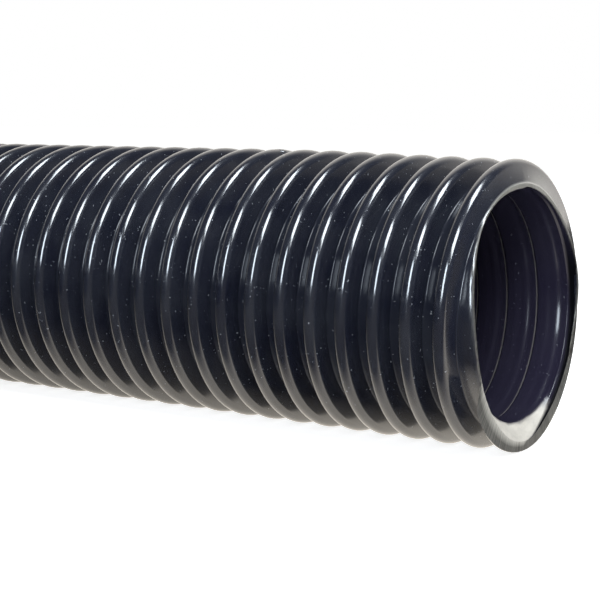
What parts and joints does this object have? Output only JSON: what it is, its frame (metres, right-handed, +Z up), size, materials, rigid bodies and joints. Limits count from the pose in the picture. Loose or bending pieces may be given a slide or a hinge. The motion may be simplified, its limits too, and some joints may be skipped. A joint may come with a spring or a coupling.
{
  "type": "pool vacuum hose",
  "caption": "Black spiral-ribbed pool vacuum hose, one end cut bare and lying straight, the rest coiled, with a swivel cuff on the far end.",
  "frame": {"origin": "centre of the hose's bore at its bare cut end", "axes": "+X along the bore and out of the cut end, +Z up; the hose lies on a floor at z = -0.0239 m"},
  "size_m": [0.6794, 0.7036, 0.1031],
  "materials": {
    "rib_plastic": "gloss",
    "lining_plastic": "satin",
    "cuff_plastic": "satin",
    "seal_rubber": "matte",
    "ring_steel": "brushed"
  },
  "bodies": {
    "hose": {"inner_wall": "lining_plastic", "rib_strip": "rib_plastic", "hose_coil": "rib_plastic", "tail_wall": "rib_plastic", "cuff_collar": "cuff_plastic", "seal_ring": "seal_rubber", "retaining_ring": "ring_steel"},
    "cuff": {"swivel_cuff": "cuff_plastic"}
  },
  "joints": [
    {"name": "cuff_swivel", "type": "hinge", "parent": "hose", "child": "cuff", "pos_m": [-0.17, -0.6074, 0.05183], "axis": [1, 0, 0], "continuous": true}
  ]
}
